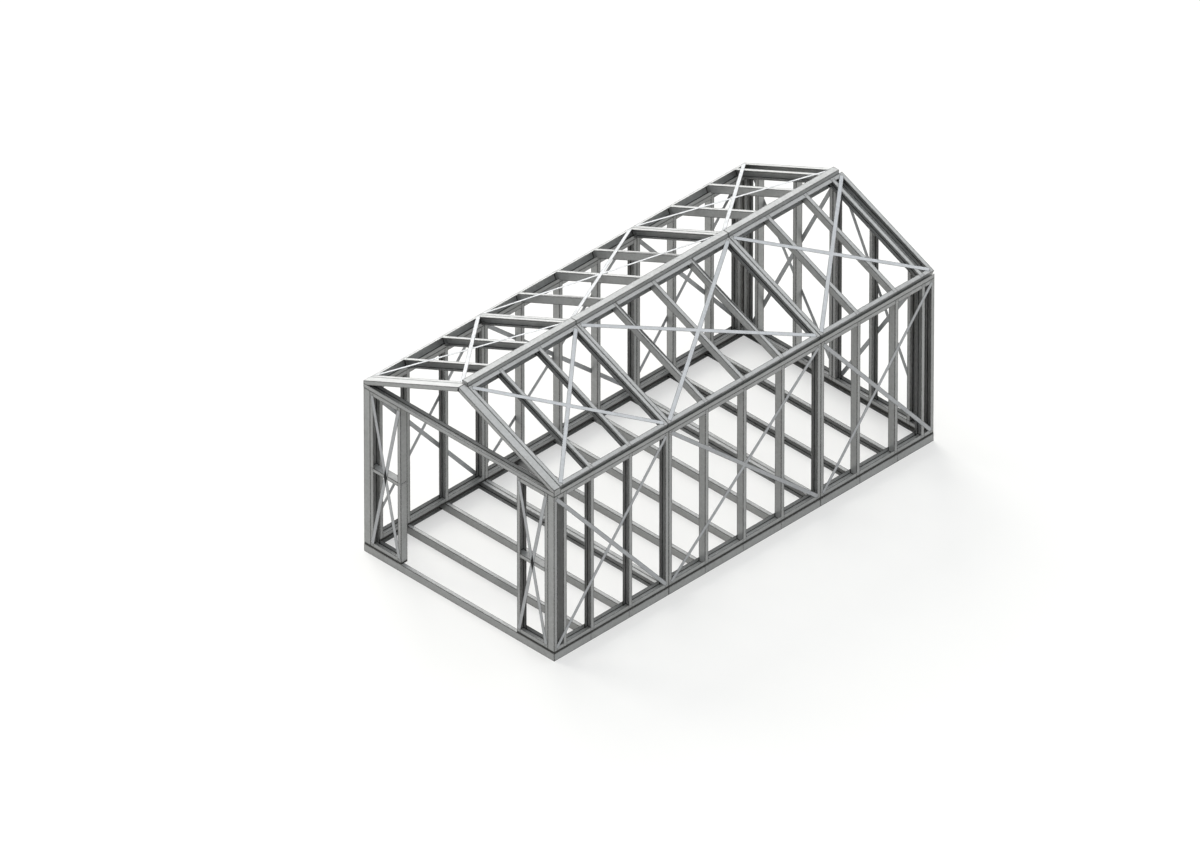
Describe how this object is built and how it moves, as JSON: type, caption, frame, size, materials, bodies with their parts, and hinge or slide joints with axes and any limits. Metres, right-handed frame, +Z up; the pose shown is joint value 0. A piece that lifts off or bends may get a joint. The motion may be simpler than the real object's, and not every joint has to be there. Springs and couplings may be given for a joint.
{
  "type": "steel shed frame",
  "caption": "Open light-gauge galvanised steel frame of a gable shed: floor cassettes, stud walls with flat strap cross bracing, a doorway gable, a raked rear gable and a pitched roof of rafters.",
  "frame": {"origin": "centre of the base, at floor level under the middle of the floor frame", "axes": "+Z up, +Y along the ridge toward the rear gable, -Y is the doorway gable, +X across the shed toward the right side wall seen from the doorway"},
  "size_m": [3, 6, 3.0043],
  "materials": {
    "galvanised_steel": "satin",
    "steel_strap": "satin",
    "sole_strip": "matte"
  },
  "bodies": {
    "root": {"floor_front": "galvanised_steel", "floor_middle": "galvanised_steel", "floor_rear": "galvanised_steel", "sole_left": "sole_strip", "sole_right": "sole_strip", "sole_front": "sole_strip", "sole_rear": "sole_strip", "wall_left_front": "galvanised_steel", "wall_left_middle": "galvanised_steel", "wall_left_rear": "galvanised_steel", "wall_right_front": "galvanised_steel", "wall_right_middle": "galvanised_steel", "wall_right_rear": "galvanised_steel", "strap_wall_left": "steel_strap", "strap_wall_right": "steel_strap", "pier_left": "galvanised_steel", "pier_right": "galvanised_steel", "strap_piers": "steel_strap", "wall_rear_left": "galvanised_steel", "wall_rear_right": "galvanised_steel", "strap_wall_rear": "steel_strap", "ring_front": "galvanised_steel", "ring_left": "galvanised_steel", "ring_right": "galvanised_steel", "gable_rafter_left": "galvanised_steel", "gable_rafter_right": "galvanised_steel", "end_plates": "galvanised_steel", "roof_left_front": "galvanised_steel", "roof_left_middle": "galvanised_steel", "roof_left_rear": "galvanised_steel", "roof_right_front": "galvanised_steel", "roof_right_middle": "galvanised_steel", "roof_right_rear": "galvanised_steel", "strap_roof_left": "steel_strap", "strap_roof_right": "steel_strap", "ridge_cap_front": "galvanised_steel", "ridge_cap_middle": "galvanised_steel", "ridge_cap_rear": "galvanised_steel"}
  },
  "joints": []
}
